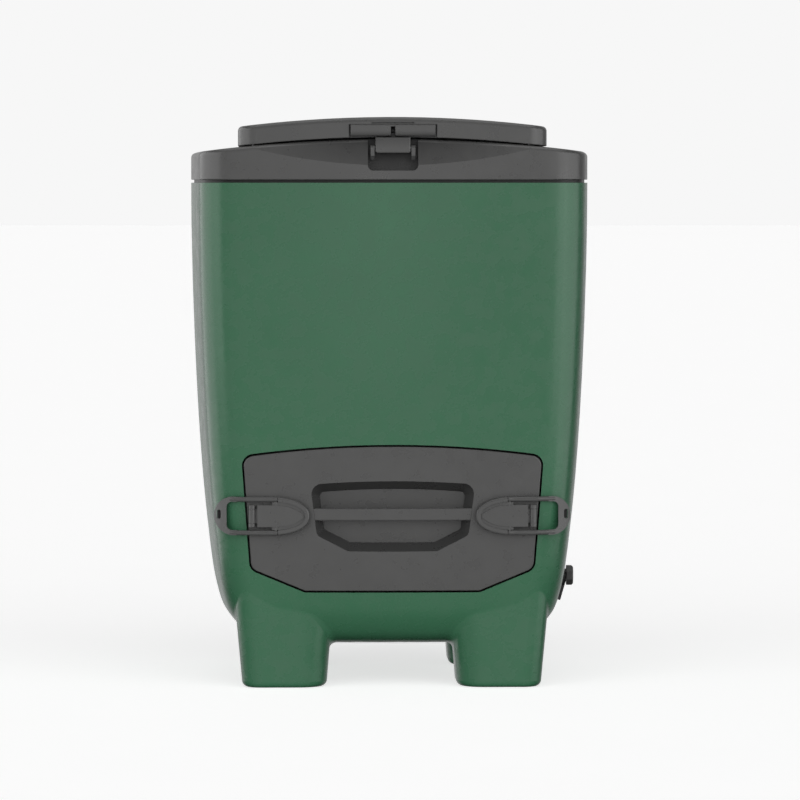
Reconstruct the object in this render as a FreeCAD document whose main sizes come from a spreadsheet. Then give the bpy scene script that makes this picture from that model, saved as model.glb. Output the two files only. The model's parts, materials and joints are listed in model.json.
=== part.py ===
import FreeCAD, Part
import math
import os
import time
import Sketcher

V = FreeCAD.Vector
T0 = time.time()
doc = FreeCAD.newDocument("compost_bin")

# ---------------------------------------------------------------- dimensions
sheet = doc.addObject("Spreadsheet::Sheet", "dims")
CELLS = [
    # body: heights of the outline's stations and the half width at each
    ("st_z0", 67.60), ("st_a0", 90.0), ("st_z1", 68.00), ("st_a1", 150.0),
    ("st_z2", 69.20), ("st_a2", 190.0), ("st_z3", 72.79), ("st_a3", 219.0),
    ("st_z4", 79.19), ("st_a4", 237.0), ("st_z5", 89.00), ("st_a5", 253.0),
    ("st_z6", 101.00), ("st_a6", 265.5), ("st_z7", 114.00), ("st_a7", 276.0),
    ("st_z8", 128.00), ("st_a8", 284.5), ("st_z9", 145.0), ("st_a9", 290.5),
    ("st_z10", 165.0), ("st_a10", 295.5), ("st_z11", 198.0), ("st_a11", 301.5),
    ("st_z12", 240.0), ("st_a12", 306.8), ("st_z13", 292.0), ("st_a13", 312.6),
    ("st_z14", 368.0), ("st_a14", 319.4), ("st_z15", 471.0), ("st_a15", 326.2),
    ("st_z16", 625.0), ("st_a16", 333.0), ("st_z17", 735.0), ("st_a17", 336.0),
    ("st_z18", 842.0), ("st_a18", 337.0),
    ("corner_r", 62.0), ("face_bulge_r", 2400.0),
    ("shell_wall", 5.0), ("liner_wall", 4.0), ("wall_depth", 52.0),
    ("shell_top", 842.0), ("collar_base", 847.0), ("floor_z", 150.0),
    ("leg_in0", 109.0), ("leg_out0", 249.5), ("leg_front0", 271.0), ("leg_back0", 137.0),
    ("leg_in1", 97.0), ("leg_out1", 263.0), ("leg_front1", 280.0), ("leg_back1", 126.0),
    ("leg_z1", 150.0), ("leg_fillet", 12.0), ("leg_foot_r", 11.0), ("leg_split", 66.6),
    # hatch outline, seen from the front
    ("hatch_top_c", 405.5), ("hatch_top_k", 0.000292), ("hatch_half_top", 248.0),
    ("hatch_half_low", 234.5), ("hatch_low_z", 201.0), ("hatch_half_bot", 145.0),
    ("hatch_bot_z", 164.0), ("hatch_gap", 3.0), ("hatch_proud", 1.5),
    ("hatch_depth", 36.0), ("hatch_travel", 300.0),
    # grip recess in the hatch
    ("grip_half_top", 140.5), ("grip_top_z", 349.2), ("grip_half_low", 132.7),
    ("grip_low_z", 253.0), ("grip_half_bot", 75.6), ("grip_bot_z", 223.4),
    ("grip_depth", 29.0), ("bar_lo", 282.0), ("bar_hi", 302.5), ("bar_thick", 9.0),
    # collar and lid arches
    ("collar_crown", 914.0), ("collar_arch_r", 2500.0), ("collar_wall", 4.5),
    ("collar_edge_r", 8.0), ("mouth_half_x", 212.0), ("mouth_front", 258.0),
    ("mouth_back", 248.0), ("mouth_r", 60.0),
    ("lid_half_x", 256.0), ("lid_front", 331.0), ("lid_back", 306.0), ("lid_corner_r", 33.0),
    ("lid_under", 917.5), ("lid_under_r", 2170.0), ("lid_crown", 950.6), ("lid_crown_r", 2055.0),
    ("lid_wall", 4.5), ("lid_edge_r", 8.0), ("plug_floor", 868.0), ("plug_gap", 6.0),
    ("lid_hinge_y", 324.0), ("lid_hinge_z", 922.0), ("lid_hinge_x", 150.0), ("lid_hinge_pin_r", 3.0),
    # front clip
    ("clip_y", -325.0), ("clip_z", 927.5), ("clip_pin_r", 2.5), ("clip_r0", 10.0),
    ("keeper_y", -322.5), ("keeper_z", 899.0), ("keeper_pin_r", 3.0),
    # toggle latches (left one; the right one mirrors it)
    ("latch_z", 290.0), ("latch_px", -233.5), ("latch_py", -311.0),
    ("latch_b", 40.0), ("latch_len", 96.0), ("latch_half", 32.0), ("latch_rod_r", 4.2),
    ("latch_pin_r", 2.5), ("bail_pin_r", 2.0),
    # drain tap on the right wall
    ("tap_y", 0.0), ("tap_z", 168.0), ("tap_bore_r", 12.0), ("tap_flange_r", 18.0),
    ("tap_knob_r", 18.0), ("tap_knob_l", 11.5), ("tap_spindle_r", 4.0),
    ("tap_nut_r", 17.3), ("tap_nut_t", 8.0), ("spout_lean", 16.0),
    # grate and air inlets
    ("grate_half", 226.0), ("grate_top", 196.0), ("grate_t", 6.0), ("grate_slot_w", 9.0),
    ("grate_slot_l", 96.0), ("grate_pitch", 26.0), ("grate_post_r", 9.0),
    ("air_r", 19.0), ("air_bore_r", 16.0), ("air_off", 68.0), ("air_top", 184.0),
    ("screw_head_r", 5.0), ("screw_head_t", 2.6), ("screw_shank_r", 2.0),
]
for i, (name, val) in enumerate(CELLS):
    sheet.set("A%d" % (i + 1), name)
    sheet.set("B%d" % (i + 1), repr(val))
    sheet.setAlias("B%d" % (i + 1), name)
doc.recompute()


def D(name):
    return float(sheet.get(name))


def feature(name, shape):
    """Free-form solid whose sizes were read from the sheet."""
    o = doc.addObject("Part::Feature", name)
    o.Shape = shape
    return o


def one(shape):
    """Drop helper compounds round a single solid."""
    s = shape.Solids
    if len(s) == 1:
        return s[0]
    return Part.makeCompound(s)


def mark(msg):
    print("%6.1fs  %s" % (time.time() - T0, msg), flush=True)


# ------------------------------------------------- squared-round outline family
NS = 19
STN = [(D("st_z%d" % i), D("st_a%d" % i)) for i in range(NS)]
A_TOP = D("st_a18")


def ring_xy(a, rc, R, n1=12, n2=8):
    c = (-(R - a) + math.sqrt(2 * (R - rc) ** 2 - (R - a) ** 2)) / 2
    th = math.atan2(c, c + R - a)
    q = math.pi / 2
    pts = []

    def arc(cx, cy, r, t0, t1, n):
        for k in range(n):
            t = t0 + (t1 - t0) * k / n
            pts.append((cx + r * math.cos(t), cy + r * math.sin(t)))

    arc(0, a - R, R, q, q + th, n1 // 2)
    arc(-c, c, rc, q + th, 2 * q - th, n2)
    arc(R - a, 0, R, 2 * q - th, 2 * q + th, n1)
    arc(-c, -c, rc, 2 * q + th, 3 * q - th, n2)
    arc(0, R - a, R, 3 * q - th, 3 * q + th, n1)
    arc(c, -c, rc, 3 * q + th, 4 * q - th, n2)
    arc(a - R, 0, R, -th, th, n1)
    arc(c, c, rc, th, q - th, n2)
    arc(0, a - R, R, q - th, q, n1 // 2)
    return pts


def ring_of(a_nom, off):
    """Outline of half width a_nom, moved outwards by off."""
    k = a_nom / A_TOP
    R = D("face_bulge_r") * k
    rc = D("corner_r") if a_nom > 200 else D("corner_r") * (0.55 + 0.45 * (a_nom - 90) / 110.0)
    return ring_xy(a_nom + off, max(rc + off, 10.0), R + off)


REF = ring_of(A_TOP, 0)
PAR = [0.0]
for i in range(len(REF)):
    p, q = REF[i], REF[(i + 1) % len(REF)]
    PAR.append(PAR[-1] + math.hypot(q[0] - p[0], q[1] - p[1]))
PAR = [p / PAR[-1] for p in PAR]


def ring_curve(xy, z):
    bs = Part.BSplineCurve()
    bs.interpolate(Points=[V(x, y, z) for x, y in xy], PeriodicFlag=True, Parameters=PAR)
    return bs


def skin(rows, vpar):
    """Closed solid through a stack of outlines that share their parameters."""
    curves = [ring_curve(xy, z) for xy, z in rows]
    cols = list(zip(*[c.getPoles() for c in curves]))
    vc = []
    for col in cols:
        b = Part.BSplineCurve()
        b.interpolate(Points=list(col), Parameters=vpar)
        vc.append(b)
    surf = Part.BSplineSurface()
    surf.buildFromPolesMultsKnots(
        [v.getPoles() for v in vc], curves[0].getMultiplicities(), vc[0].getMultiplicities(),
        curves[0].getKnots(), vc[0].getKnots(), True, False, curves[0].Degree, vc[0].Degree)
    face = surf.toShape()
    rims = [e for e in face.Edges if e.isClosed() and e.BoundBox.ZLength < 1e-3]
    caps = [Part.Face(Part.Wire([e])) for e in rims]
    sh = Part.Shell([face] + caps)
    sh.sewShape()
    sol = Part.Solid(sh.Shells[0] if sh.ShapeType != "Shell" else sh)
    if sol.Volume < 0:
        sol.reverse()
    return sol


VP = [0.0]
for i in range(1, NS):
    VP.append(VP[-1] + math.hypot(STN[i][0] - STN[i - 1][0], STN[i][1] - STN[i - 1][1]))
VP = [v / VP[-1] for v in VP]
_cache = {}


def hull(off, dz=0.0):
    """The body's outline moved outwards by off, its underside moved up by dz."""
    key = (round(off, 3), round(dz, 3))
    if key not in _cache:
        rows = []
        for (z, a) in STN:
            w = max(0.0, min(1.0, (200.0 - z) / 120.0))
            rows.append((ring_of(a, off), z + dz * w))
        _cache[key] = skin(rows, VP)
    return _cache[key]


def band(off, z0, z1):
    """Straight-sided block with the outline of the top station."""
    f = Part.Face(Part.Wire([ring_curve(ring_of(A_TOP, off), z0).toShape()]))
    return f.extrude(V(0, 0, z1 - z0))


def box(x0, x1, y0, y1, z0, z1):
    return Part.makeBox(x1 - x0, y1 - y0, z1 - z0, V(x0, y0, z0))


def cyl(r, p, d, L):
    return Part.makeCylinder(r, L, V(*p), V(*d))


def half_width(z):
    for (z0, a0), (z1, a1) in zip(STN, STN[1:]):
        if z0 <= z <= z1:
            return a0 + (a1 - a0) * (z - z0) / (z1 - z0)
    return A_TOP


# ---------------------------------------------------------------- hatch outline
def poly_prism(pts, y0, y1, radii, arc_mid=None):
    """Prism along Y from an outline in the XZ plane, its corners rounded.
    The first side is the arched top when arc_mid is given."""
    n = len(pts)
    edges = []
    for i in range(n):
        p, q = pts[i], pts[(i + 1) % n]
        a, b = V(p[0], y0, p[1]), V(q[0], y0, q[1])
        if i == 0 and arc_mid:
            edges.append(Part.Arc(a, V(arc_mid[0], y0, arc_mid[1]), b).toShape())
        else:
            edges.append(Part.LineSegment(a, b).toShape())
    s = Part.Face(Part.Wire(edges)).extrude(V(0, y1 - y0, 0))
    groups = {}
    for e in s.Edges:
        bb = e.BoundBox
        if bb.XLength < 1e-6 and bb.ZLength < 1e-6:
            for (p, r) in zip(pts, radii):
                if abs(bb.XMin - p[0]) < 0.01 and abs(bb.ZMin - p[1]) < 0.01 and r > 0:
                    groups.setdefault(round(r, 3), []).append(e)
    for r, es in sorted(groups.items()):
        es2 = []
        for e in s.Edges:
            bb = e.BoundBox
            if bb.XLength < 1e-6 and bb.ZLength < 1e-6:
                for o in es:
                    ob = o.BoundBox
                    if abs(ob.XMin - bb.XMin) < 0.01 and abs(ob.ZMin - bb.ZMin) < 0.01:
                        es2.append(e)
        s = s.makeFillet(r, es2)
    return s


def offset_poly(pts, d):
    """Move each straight side of a convex outline (clockwise from the front) outwards by d."""
    n = len(pts)
    out = []
    cx = sum(p[0] for p in pts) / n
    cz = sum(p[1] for p in pts) / n
    lines = []
    for i in range(n):
        p, q = pts[i], pts[(i + 1) % n]
        ex, ez = q[0] - p[0], q[1] - p[1]
        L = math.hypot(ex, ez)
        nx, nz = ez / L, -ex / L
        if (p[0] - cx) * nx + (p[1] - cz) * nz < 0:
            nx, nz = -nx, -nz
        lines.append(((p[0] + nx * d, p[1] + nz * d), (ex, ez)))
    for i in range(n):
        (p, e), (q, f) = lines[i - 1], lines[i]
        den = e[0] * f[1] - e[1] * f[0]
        t = ((q[0] - p[0]) * f[1] - (q[1] - p[1]) * f[0]) / den
        out.append((p[0] + e[0] * t, p[1] + e[1] * t))
    return out


hz = D("hatch_top_c") - D("hatch_top_k") * D("hatch_half_top") ** 2
HP = [(-D("hatch_half_top"), hz), (D("hatch_half_top"), hz), (D("hatch_half_low"), D("hatch_low_z")),
      (D("hatch_half_bot"), D("hatch_bot_z")), (-D("hatch_half_bot"), D("hatch_bot_z")),
      (-D("hatch_half_low"), D("hatch_low_z"))]


def hatch_prism(d, y0=-420.0, y1=-150.0):
    pts = offset_poly(HP, d)
    rr = [max(3.0, r + d) for r in (17.0, 17.0, 16.0, 10.0, 10.0, 16.0)]
    return poly_prism(pts, y0, y1, rr, (0.0, D("hatch_top_c") + d))


gz = D("grip_top_z") - 3.5
GP = [(-D("grip_half_top"), gz), (D("grip_half_top"), gz), (D("grip_half_low"), D("grip_low_z")),
      (D("grip_half_bot"), D("grip_bot_z")), (-D("grip_half_bot"), D("grip_bot_z")),
      (-D("grip_half_low"), D("grip_low_z"))]


def grip_wire(d, y):
    pts = offset_poly(GP, d)
    rr = [max(3.0, r + d) for r in (20.0, 20.0, 15.0, 8.0, 8.0, 15.0)]
    s = poly_prism(pts, y, y + 1.0, rr, (0.0, D("grip_top_z") + d))
    for f in s.Faces:
        if f.BoundBox.YLength < 1e-6 and abs(f.BoundBox.YMin - y) < 1e-6:
            return f.OuterWire
    raise RuntimeError("grip outline")


# =================================================================== body group
SW = D("shell_wall")
WD = D("wall_depth")
LW = D("liner_wall")
FRONT = box(-330, 330, -420, -120, 120, 470)

S0 = hull(0.0)
mark("outer form %.1f" % (S0.Volume / 1e6))


def leg_ring(xi, xo, yf, yb, z, sx, sy, rr, n=8):
    """Leg outline; rr = radii at outer front, inner front, inner back, outer back."""
    xs = [(xo, -yf, rr[0]), (xi, -yf, rr[1]), (xi, -yb, rr[2]), (xo, -yb, rr[3])]
    sg = [(-1, 1), (1, 1), (1, -1), (-1, -1)]
    pts = []
    # runs outer front -> outer back -> inner back -> inner front
    order = [0, 3, 2, 1]
    ang = {0: (270, 360), 3: (0, 90), 2: (90, 180), 1: (180, 270)}
    for i in order:
        x, y, r = xs[i]
        cx, cy = x + sg[i][0] * r, y + sg[i][1] * r
        t0, t1 = ang[i]
        for k in range(n + 1):
            t = math.radians(t0 + (t1 - t0) * k / n)
            pts.append((cx + r * math.cos(t), cy + r * math.sin(t)))
        # two points along the straight run that follows
        nx = order[(order.index(i) + 1) % 4]
        x2, y2, r2 = xs[nx]
        c2 = (x2 + sg[nx][0] * r2, y2 + sg[nx][1] * r2)
        t2 = math.radians(ang[nx][0])
        e = (c2[0] + r2 * math.cos(t2), c2[1] + r2 * math.sin(t2))
        s = pts[-1]
        for f in (1 / 3.0, 2 / 3.0):
            pts.append((s[0] + (e[0] - s[0]) * f, s[1] + (e[1] - s[1]) * f))
    m = [V(sx * x, sy * y, z) for x, y in pts]
    if sx * sy < 0:
        m.reverse()
    return m


def leg_solid(sx, sy, d, z0, z1, foot):
    """One leg, shrunk by d, from z0 to z1."""
    def at(k0, k1, z):
        return D(k0) + (D(k1) - D(k0)) * z / D("leg_z1")
    par = None
    ws = []
    for z in (z0, z1):
        xi, xo = at("leg_in0", "leg_in1", z) + d, at("leg_out0", "leg_out1", z) - d
        yf, yb = at("leg_front0", "leg_front1", z) - d, at("leg_back0", "leg_back1", z) + d
        pts = leg_ring(xi, xo, yf, yb, z, sx, sy, (32.0 - d * .5, 46.0 - d * .5, 30.0 - d * .5, 30.0 - d * .5))
        if par is None:
            par = [0.0]
            for i in range(len(pts)):
                par.append(par[-1] + (pts[(i + 1) % len(pts)] - pts[i]).Length)
            par = [p / par[-1] for p in par]
        b = Part.BSplineCurve()
        b.interpolate(Points=pts, PeriodicFlag=True, Parameters=par)
        ws.append(Part.Wire([b.toShape()]))
    s = Part.makeLoft(ws, True, False)
    if s.Volume < 0:
        s.reverse()
    if foot > 0:
        es = [e for e in s.Edges if e.BoundBox.ZMax < z0 + 1e-3]
        s = s.makeFillet(foot, es)
    return s


SIGNS = [(1, 1), (-1, 1), (1, -1), (-1, -1)]
outer = S0
for sx, sy in SIGNS:
    outer = outer.fuse(leg_solid(sx, sy, 0.0, 0.0, D("leg_z1") + 25.0, D("leg_foot_r")))
outer = one(outer)
loops = [e for e in outer.Edges if e.BoundBox.ZMin > 55 and e.BoundBox.ZMax < 172
         and 20 < e.BoundBox.XLength < 178 and e.BoundBox.YLength < 178]
mark("legs fused, %d loop edges, closed %s" % (len(loops), [e.isClosed() for e in loops]))
blended = None
# a point just inside the blend, on each leg's inner side
probe = [V(sx * 101.0, sy * 200.0, 67.4) for sx, sy in SIGNS]
for r in (D("leg_fillet"), 11.0, 13.0, 10.0, 8.0):
    try:
        t = outer.makeFillet(r, loops)
        hit = [t.isInside(q, 0.001, True) for q in probe]
        mark("leg blend %.0f valid %s, at the legs %s, before it %s" % (r, t.isValid(), hit, [outer.isInside(q, 0.001, True) for q in probe]))
        if t.isValid() and all(hit):
            blended = t
            break
    except Exception as ex:
        mark("leg blend %.0f: %s" % (r, ex))
if blended is not None:
    outer = one(blended)

cav = hull(-SW, SW).common(box(-400, 400, -400, 400, 70, D("shell_top") - 6.0))
leg_cav = [leg_solid(sx, sy, SW, 6.0, 100.0, 0) for sx, sy in SIGNS]
shell = outer.cut(cav)
shell = shell.cut(leg_cav)
shell = shell.cut(band(-34.0, D("shell_top") - 12.0, D("shell_top") + 5.0))
shell = shell.cut(hatch_prism(D("hatch_gap"), -420.0, -180.0))
tap_hole = cyl(D("tap_bore_r") + 0.3, (200, D("tap_y"), D("tap_z")), (1, 0, 0), 200)
shell = shell.cut(tap_hole)
AIR = [(sx * D("air_off"), sy * D("air_off")) for sx, sy in SIGNS]
for x, y in AIR:
    shell = shell.cut(cyl(D("air_r") + 0.2, (x, y, 60), (0, 0, 1), 150))
# the four hollow legs are set apart from the tub just under its belly
under = box(-400, 400, -400, 400, -20.0, D("leg_split"))
legs = shell.common(under)
shell = one(shell.cut(under))
mark("outer shell %d solids valid %s" % (len(shell.Solids), shell.isValid()))
mark("legs %d solids valid %s, %.0f mm3 each" % (len(legs.Solids), legs.isValid(), legs.Volume / 4.0))
feature("outer_shell", shell)
feature("legs", Part.Compound(legs.Solids))

# liner: tapered bin with floor, top flange and the hatch opening
throat_out, throat_in = hatch_prism(-20.0), hatch_prism(-24.0)
LF = D("floor_z")
lin = hull(-WD).common(box(-400, 400, -400, 400, LF - LW, D("shell_top") + 1.0))
lin = lin.cut(hull(-WD - LW).common(box(-400, 400, -400, 400, LF, D("shell_top") + 2.0)))
fl = band(-5.0, D("shell_top"), D("collar_base")).cut(band(-WD - LW, D("shell_top") - 1, D("collar_base") + 1))
lin = lin.fuse(fl)
lin = lin.cut(hatch_prism(-19.6, -420.0, -150.0)).cut(tap_hole)
for x, y in AIR:
    lin = lin.cut(cyl(D("air_r") + 0.2, (x, y, 60), (0, 0, 1), 110))

# collar screws pass through the spigot and the liner
SCZ = 826.0
SCREWS = []
for s in (-1, 1):
    for u in (-150.0, 150.0):
        SCREWS.append(((u, s * 1.0, 0), "y"))
        SCREWS.append(((s * 1.0, u, 0), "x"))


def side_surface(u, off):
    """Distance of the top outline's face from the centre at a place u along it."""
    R = D("face_bulge_r") + off
    return A_TOP + off - R + math.sqrt(R * R - u * u)


screw_holes = []
screw_solids = []
for (p, ax) in SCREWS:
    u, s = (p[0], p[1]) if ax == "y" else (p[1], p[0])
    d_in = side_surface(u, -61.0) - 0.5
    start = (u, s * d_in, SCZ) if ax == "y" else (s * d_in, u, SCZ)
    dr = (0, s, 0) if ax == "y" else (s, 0, 0)
    hole = cyl(D("screw_shank_r"), start, dr, 9.6)
    hole.rotate(V(*start), V(*dr), 37.0)
    screw_holes.append(hole)
lin = lin.cut(screw_holes)
lin = one(lin)
# the front left hole is eased a little, so that its screw only touches the liner under the head
p, ax = SCREWS[0]
u, s = (p[0], p[1]) if ax == "y" else (p[1], p[0])
d_in = side_surface(u, -61.0) - 0.5
start = (u, s * d_in, SCZ) if ax == "y" else (s * d_in, u, SCZ)
lin = one(lin.cut(cyl(D("screw_shank_r") + 0.01, start, (0, s, 0) if ax == "y" else (s, 0, 0), 9.6)))
mark("liner %d solids valid %s" % (len(lin.Solids), lin.isValid()))
feature("inner_liner", lin)

# foam between the two skins
g = 1.2
foam = hull(-SW - g).common(box(-400, 400, -400, 400, LF - LW, D("shell_top") - 6.0 - g))
foam = foam.cut(hull(-WD + g).common(box(-400, 400, -400, 400, LF - LW - 5, D("shell_top"))))
foam = foam.cut(hatch_prism(8.2)).cut(cyl(D("tap_bore_r") + 1.0, (200, D("tap_y"), D("tap_z")), (1, 0, 0), 200))
foam = one(foam)
mark("wall foam %d solids valid %s" % (len(foam.Solids), foam.isValid()))
feature("wall_insulation", foam)
ff = hull(-SW - g, SW + g).common(box(-400, 400, -400, 400, 60, LF - LW - g))
for x, y in AIR:
    ff = ff.cut(cyl(D("air_r") + 0.3, (x, y, 60), (0, 0, 1), 150))
ff = one(ff.cut(hatch_prism(8.2)))
mark("floor foam %d solids valid %s" % (len(ff.Solids), ff.isValid()))
feature("floor_insulation", ff)

# throat frame behind the hatch
HD = D("hatch_depth")
step = HD + 8.0
fr = hatch_prism(7.0).cut(hatch_prism(3.0)).common(hull(-SW - g).common(FRONT)).cut(hull(-step))
sh = hatch_prism(7.0).cut(throat_in).common(hull(-step)).cut(hull(-step - 4.0))
th = throat_out.cut(throat_in).common(hull(-step - 4.0)).cut(hull(-WD - LW))
frame = one(fr.fuse([sh, th]).common(FRONT))
mark("hatch frame %d solids valid %s" % (len(frame.Solids), frame.isValid()))
feature("hatch_frame", frame)


# ------------------------------------------------------------------- top collar
def arch(crown, R, z0, off=0.0):
    """Everything under an arch along X (axis along Y) and above z0."""
    zc = crown - R
    w = 420.0
    p = [V(-w, -420, z0), V(w, -420, z0), V(w, -420, zc + math.sqrt((R + off) ** 2 - w * w)),
         V(-w, -420, zc + math.sqrt((R + off) ** 2 - w * w))]
    e = [Part.LineSegment(p[0], p[1]).toShape(), Part.LineSegment(p[1], p[2]).toShape(),
         Part.Arc(p[2], V(0, -420, zc + R + off), p[3]).toShape(), Part.LineSegment(p[3], p[0]).toShape()]
    return Part.Face(Part.Wire(e)).extrude(V(0, 840, 0))


def rrect(x, yf, yb, r, z0, z1):
    s = box(-x, x, -yf, yb, z0, z1)
    es = [e for e in s.Edges if e.BoundBox.XLength < 1e-6 and e.BoundBox.YLength < 1e-6]
    return s.makeFillet(r, es)


CW = D("collar_wall")
CB = D("collar_base")
CC, CR = D("collar_crown"), D("collar_arch_r")
MX, MF, MB, MR = D("mouth_half_x"), D("mouth_front"), D("mouth_back"), D("mouth_r")
colr = band(0.0, CB, 940.0).common(arch(CC, CR, CB))
# slanted finger scoop: a plane leaning back from the front face
tb = 0.40
zs = 871.4
sc = Part.Face(Part.makePolygon([V(-330, -336.6 - 30 * tb * 1.0, zs - 30), V(-330, -336.6 + 70 * tb, zs + 70),
                                 V(-330, -420, zs + 70), V(-330, -420, zs - 30),
                                 V(-330, -336.6 - 30 * tb * 1.0, zs - 30)])).extrude(V(660, 0, 0))
colr = colr.cut(sc)
top_edges = []
for e in colr.Edges:
    bb = e.BoundBox
    if bb.ZMin > 880 and (bb.XLength > 20 or bb.YLength > 20):
        top_edges.append(e)
for r in (D("collar_edge_r"), 5.0, 3.0):
    try:
        t = colr.makeFillet(r, top_edges)
        if t.isValid():
            colr = t
            mark("collar rim radius %.0f (%d edges)" % (r, len(top_edges)))
            break
    except Exception as ex:
        mark("collar rim %.0f: %s" % (r, ex))
low = [e for e in colr.Edges if e.BoundBox.ZMax < CB + 1e-3]
try:
    t = colr.makeFillet(1.6, low)
    if t.isValid():
        colr = t
except Exception as ex:
    mark("collar lower edge: %s" % ex)

RX = 41.5
hollow = band(-CW, CB + 4.0, 940.0).common(arch(CC, CR, CB, -CW))
hollow = hollow.cut(rrect(MX + CW, MF + CW, MB + CW, MR + CW, 866.0, 960.0))
hollow = hollow.cut(box(-RX - 5, RX + 5, -420, -302.0, 856.0, 960.0))
sc_back = sc.copy()
sc_back.translate(V(0, 6.0, 0))
hollow = hollow.cut(arch(CC, CR, CB).common(sc_back))
colr = colr.cut(hollow)
colr = colr.cut(band(-61.0, CB - 2, CB + 5.0))
colr = colr.cut(rrect(MX, MF, MB, MR, CB - 5, 960.0))
recess = box(-RX, RX, -420, -308.0, 862.0, 960.0)
res = [e for e in recess.Edges if e.BoundBox.XLength < 1e-6 and e.BoundBox.ZLength < 1e-6 and e.BoundBox.ZMax < 870]
recess = recess.makeFillet(9.0, res)
colr = colr.cut(recess)
spig = band(-WD - LW - 0.5, 815.0, CB + 1.0).cut(band(-61.0, 810.0, CB + 2.0))
colr = colr.fuse(spig)
# lugs that hold the cross pin
for s in (-1, 1):
    x0 = 30.5 if s > 0 else -37.0
    lug = box(x0, x0 + 6.5, -322.5, -307.0, 880.0, 899.0)
    lug = lug.fuse(cyl(5.0, (x0, D("keeper_y"), D("keeper_z")), (1, 0, 0), 6.5))
    lug = lug.fuse(box(x0, x0 + 6.5, -322.5, -307.0, 890.0, 904.0))
    lug = lug.fuse(box(x0, x0 + 6.5, -327.5, -315.0, 886.0, 899.0))
    colr = colr.fuse(lug)
kp = cyl(D("keeper_pin_r"), (-37.0, D("keeper_y"), D("keeper_z")), (1, 0, 0), 74.0)
colr = colr.cut(kp)
# rear hinge ears
HX, HY, HZ = D("lid_hinge_x"), D("lid_hinge_y"), D("lid_hinge_z")
for s in (-1, 1):
    for x0 in (s * HX - 29.0, s * HX + 21.0):
        ear = cyl(8.0, (x0, HY, HZ), (1, 0, 0), 8.0).fuse(box(x0, x0 + 8.0, HY - 8, HY + 8, 898.0, HZ))
        colr = colr.fuse(ear)
    colr = colr.cut(cyl(D("lid_hinge_pin_r"), (s * HX - 29.0, HY, HZ), (1, 0, 0), 58.0))
colr = colr.cut(screw_holes)
# the clip's seat, with its walls, floor and lugs, is a piece of its own in a notch of the collar
notch = box(-RX - 5, RX + 5, -420, -302.0, 856.0, 960.0)
seat = one(colr.common(notch))
colr = one(colr.cut(notch))
mark("clip seat %d solids valid %s" % (len(seat.Solids), seat.isValid()))
mark("collar %d solids valid %s" % (len(colr.Solids), colr.isValid()))
feature("top_collar", colr)
feature("clip_seat", seat)


# --------------------------------------------- small turned parts on bound sizes
def pcyl(name, r, h, pos, direction, extra=""):
    """Cylinder bound to the sheet; r and h are expressions."""
    c = doc.addObject("Part::Cylinder", name)
    c.setExpression("Radius", r)
    c.setExpression("Height", h)
    c.Placement = FreeCAD.Placement(V(*pos), FreeCAD.Rotation(V(0, 0, 1), V(*direction)))
    return c


def group(name, objs):
    c = doc.addObject("Part::Compound", name)
    c.Links = objs
    return c


pcyl("keeper_pin", "dims.keeper_pin_r", "74", (-37.0, D("keeper_y"), D("keeper_z")), (1, 0, 0))
group("lid_hinge_pins", [pcyl("hinge_pin_%d" % i, "dims.lid_hinge_pin_r", "58", (s * HX - 29.0, HY, HZ), (1, 0, 0))
                         for i, s in enumerate((-1, 1))])


def screw_obj(name, start, direction, L):
    d = V(*direction)
    h = pcyl(name + "_head", "dims.screw_head_r", "dims.screw_head_t", tuple(V(*start) - d * D("screw_head_t")), direction)
    s = pcyl(name + "_shank", "dims.screw_shank_r", str(L), start, direction)
    f = doc.addObject("Part::Fuse", name)
    f.Base, f.Tool = h, s
    return f


objs = []
for i, (p, ax) in enumerate(SCREWS):
    u, s = (p[0], p[1]) if ax == "y" else (p[1], p[0])
    d_in = side_surface(u, -61.0) - 0.5
    start = (u, s * d_in, SCZ) if ax == "y" else (s * d_in, u, SCZ)
    dr = (0, s, 0) if ax == "y" else (s, 0, 0)
    objs.append(screw_obj("collar_screw_%d" % i, start, dr, 8.6))
group("collar_screws", objs)

# air inlets
tubes, screens = [], []
for i, (x, y) in enumerate(AIR):
    o = pcyl("air_out_%d" % i, "dims.air_r", "dims.air_top - dims.st_z0 - 1", (x, y, D("st_z0") + 1.0), (0, 0, 1))
    b = pcyl("air_in_%d" % i, "dims.air_bore_r", "dims.air_top", (x, y, 20.0), (0, 0, 1))
    c = doc.addObject("Part::Cut", "air_tube_%d" % i)
    c.Base, c.Tool = o, b
    tubes.append(c)
    d = pcyl("air_disc_%d" % i, "dims.air_bore_r", "2", (x, y, 80.0), (0, 0, 1))
    hs = []
    for u in range(-2, 3):
        for w in range(-2, 3):
            if math.hypot(u, w) < 2.5:
                hs.append(pcyl("air_hole_%d_%d_%d" % (i, u + 2, w + 2), "1.9", "6", (x + u * 5.2, y + w * 5.2, 78.0), (0, 0, 1)))
    hc = group("air_holes_%d" % i, hs)
    k = doc.addObject("Part::Cut", "air_screen_%d" % i)
    k.Base, k.Tool = d, hc
    screens.append(k)
group("air_inlet_tubes", tubes)
group("air_inlet_screens", screens)


# ------------------------------------------------------- sketch-based part bodies
def plane(body, role):
    for f in body.Origin.OriginFeatures:
        if f.Role == role:
            return f
    raise RuntimeError(role)


def sketch(body, name, role, off=(0, 0, 0)):
    s = body.newObject("Sketcher::SketchObject", name)
    s.AttachmentSupport = [(plane(body, role), "")]
    s.MapMode = "FlatFace"
    s.AttachmentOffset = FreeCAD.Placement(V(*off), FreeCAD.Rotation())
    return s


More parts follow.
